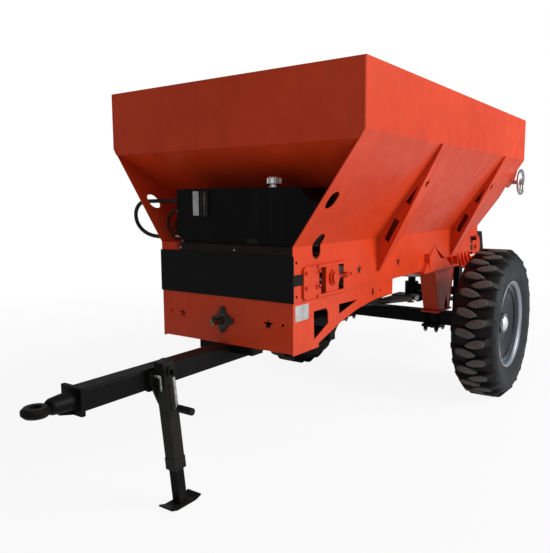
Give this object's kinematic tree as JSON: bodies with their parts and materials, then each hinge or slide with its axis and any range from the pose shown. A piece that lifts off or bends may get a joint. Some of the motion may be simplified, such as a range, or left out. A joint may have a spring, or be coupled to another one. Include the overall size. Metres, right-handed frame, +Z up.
{
  "type": "manure spreader",
  "caption": "Two-wheel towed spreader with a sloped hopper, floor chain conveyor, sliding rear gate, spinning discs, drawbar with eye and a swinging parking jack",
  "frame": {"origin": "on the ground under the middle of the machine's bounding box", "axes": "+X forwards to the towing eye, +Y to the machine's left, +Z up"},
  "size_m": [4.8389, 2.058, 2.1441],
  "materials": {
    "paint_red": "satin orange-red paint",
    "paint_black": "semi-gloss black paint",
    "rubber": "matt ribbed rubber sheet",
    "tyre": "dusty black tyre rubber",
    "rim_silver": "silver wheel paint",
    "steel": "bright turned steel",
    "chain_steel": "oiled dark steel",
    "galvanised": "zinc-plated steel",
    "hose": "black hydraulic hose cover"
  },
  "bodies": {
    "frame": {"axle": "paint_black", "axle_clamps": "paint_black", "bracket_plates": "paint_red", "breather_cap": "galvanised", "chain_tensioners": "paint_red", "conveyor_chain": "chain_steel", "conveyor_drive": "paint_black", "conveyor_floor": "paint_red", "conveyor_front_shaft": "steel", "conveyor_rear_shaft": "steel", "drawbar": "paint_black", "front_cover": "rubber", "front_panel": "paint_red", "front_rail": "paint_black", "gate_guides": "paint_red", "gate_shaft": "steel", "handwheel": "steel", "hopper_front_wall": "paint_red", "hopper_rear_wall": "paint_red", "hopper_ribs": "paint_red", "hopper_side_left": "paint_red", "hopper_side_right": "paint_red", "hose_block": "galvanised", "hose_drain": "hose", "hose_return": "hose", "hose_supply": "hose", "input_bearing": "steel", "jack_mount": "paint_black", "oil_tank": "paint_black", "pillars": "paint_red", "rear_bearings": "paint_red", "rear_brackets": "paint_red", "spinner_frame": "paint_black", "spinner_gearbox": "paint_black", "spinner_hood": "paint_black", "towing_eye": "paint_black"},
    "wheel_left": {"tyre_left": "tyre", "rim_left": "rim_silver", "hub_left": "paint_black"},
    "wheel_right": {"tyre_right": "tyre", "rim_right": "rim_silver", "hub_right": "paint_black"},
    "jack": {"jack_tube": "paint_black", "jack_crank": "galvanised"},
    "jack_inner": {"jack_leg": "paint_black"},
    "gate": {"rear_gate": "paint_red"},
    "input": {"input_shaft": "steel"},
    "cardan": {"cardan_shaft": "steel"},
    "gearbox_input": {"gearbox_yoke": "steel"},
    "disc_left": {"spinner_left": "galvanised"},
    "disc_right": {"spinner_right": "galvanised"}
  },
  "joints": [
    {"name": "wheel_left_spin", "type": "hinge", "parent": "frame", "child": "wheel_left", "pos_m": [-0.9645, 0.869, 0.56], "axis": [0, 1, 0], "continuous": true},
    {"name": "wheel_right_spin", "type": "hinge", "parent": "frame", "child": "wheel_right", "pos_m": [-0.9645, -0.869, 0.56], "axis": [0, 1, 0], "continuous": true},
    {"name": "jack_swing", "type": "hinge", "parent": "frame", "child": "jack", "pos_m": [1.7455, 0.111, 0.653], "axis": [0, -1, 0], "range_deg": [0, 96.8]},
    {"name": "jack_wind", "type": "slide", "parent": "jack", "child": "jack_inner", "axis": [0.1186, 0, 0.9929], "range_m": [0, 0.15]},
    {"name": "gate_lift", "type": "slide", "parent": "frame", "child": "gate", "axis": [0, 0, 1], "range_m": [0, 0.3]},
    {"name": "input_turn", "type": "hinge", "parent": "frame", "child": "input", "pos_m": [1.1855, 0, 0.837], "axis": [1, 0, 0], "continuous": true},
    {"name": "cardan_turn", "type": "hinge", "parent": "frame", "child": "cardan", "pos_m": [1.0255, 0, 0.837], "axis": [0.9955, 0, 0.0946], "continuous": true},
    {"name": "gearbox_turn", "type": "hinge", "parent": "frame", "child": "gearbox_input", "pos_m": [-1.4695, 0, 0.6], "axis": [1, 0, 0], "continuous": true},
    {"name": "disc_left_spin", "type": "hinge", "parent": "frame", "child": "disc_left", "pos_m": [-2.1445, 0.285, 0.74], "axis": [0, 0, 1], "continuous": true},
    {"name": "disc_right_spin", "type": "hinge", "parent": "frame", "child": "disc_right", "pos_m": [-2.1445, -0.285, 0.74], "axis": [0, 0, 1], "continuous": true}
  ],
  "couplings": [
    {"joint": "cardan_turn", "follows": "input_turn", "ratio": 1},
    {"joint": "gearbox_turn", "follows": "input_turn", "ratio": 1},
    {"joint": "disc_left_spin", "follows": "input_turn", "ratio": 1},
    {"joint": "disc_right_spin", "follows": "input_turn", "ratio": -1}
  ]
}
